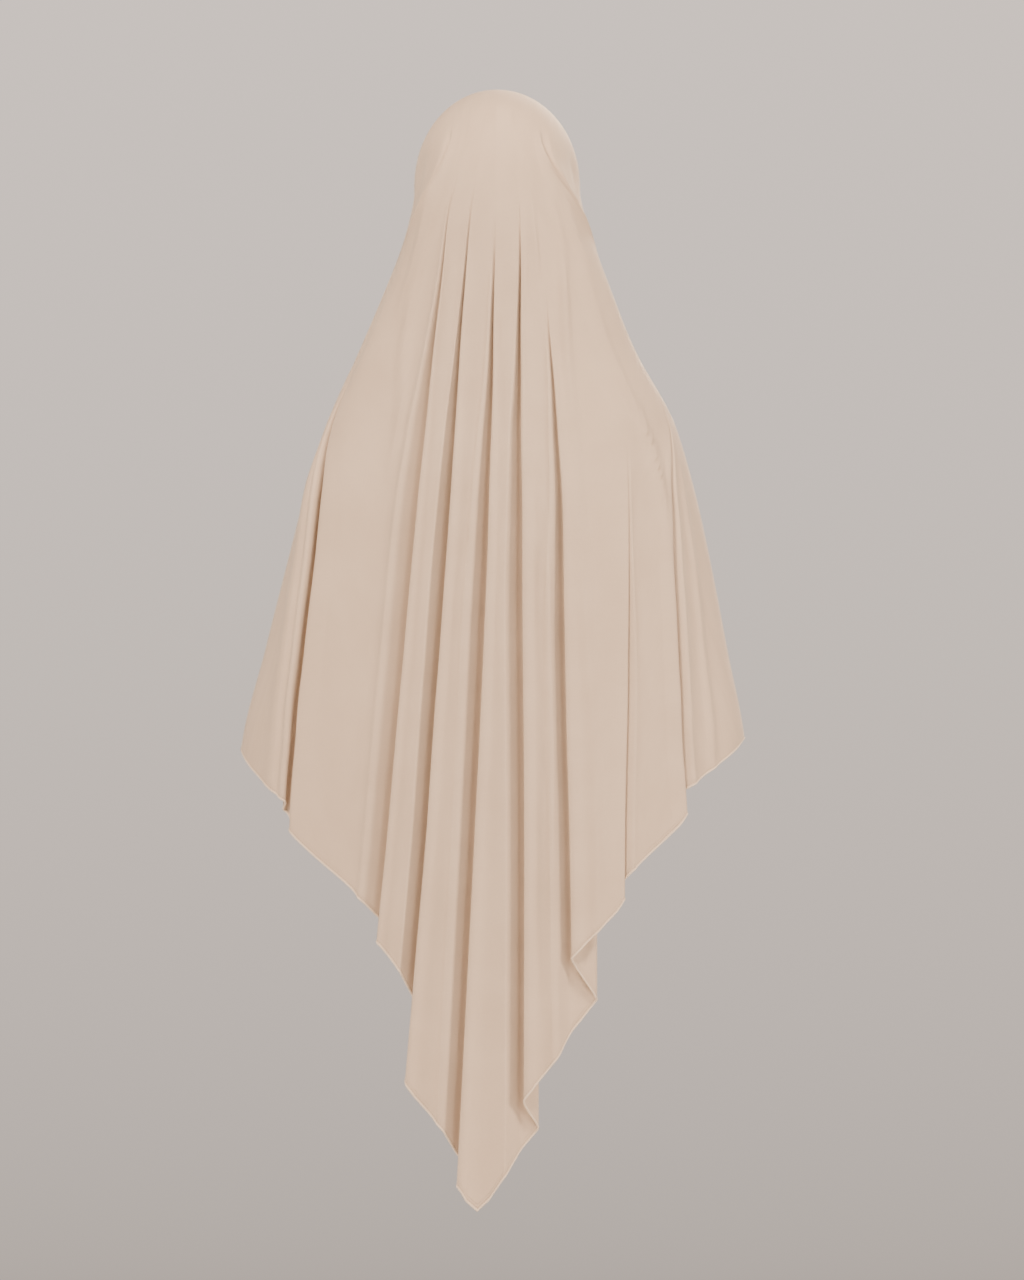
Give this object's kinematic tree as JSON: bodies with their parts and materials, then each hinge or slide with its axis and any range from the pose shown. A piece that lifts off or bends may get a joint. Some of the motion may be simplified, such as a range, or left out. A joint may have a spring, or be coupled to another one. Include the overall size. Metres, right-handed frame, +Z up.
{
  "type": "khimar veil",
  "caption": "Long pointed khimar head veil of sand jersey in its worn, draped form: smooth crown, oval face opening, lapped folds down the back and a narrow turned hem",
  "frame": {"origin": "inside of the crown, where the veil rests on the top of the head", "axes": "+X to the wearer's right, +Y the way the wearer faces, +Z up"},
  "size_m": [0.5408, 0.3236, 1.2022],
  "materials": {
    "sand_jersey": "fine matt jersey with a faint sheen",
    "turned_hem": "the same jersey, turned and stitched"
  },
  "bodies": {
    "root": {"veil": "sand_jersey", "bottom_hem": "turned_hem", "face_hem": "turned_hem"}
  },
  "joints": []
}
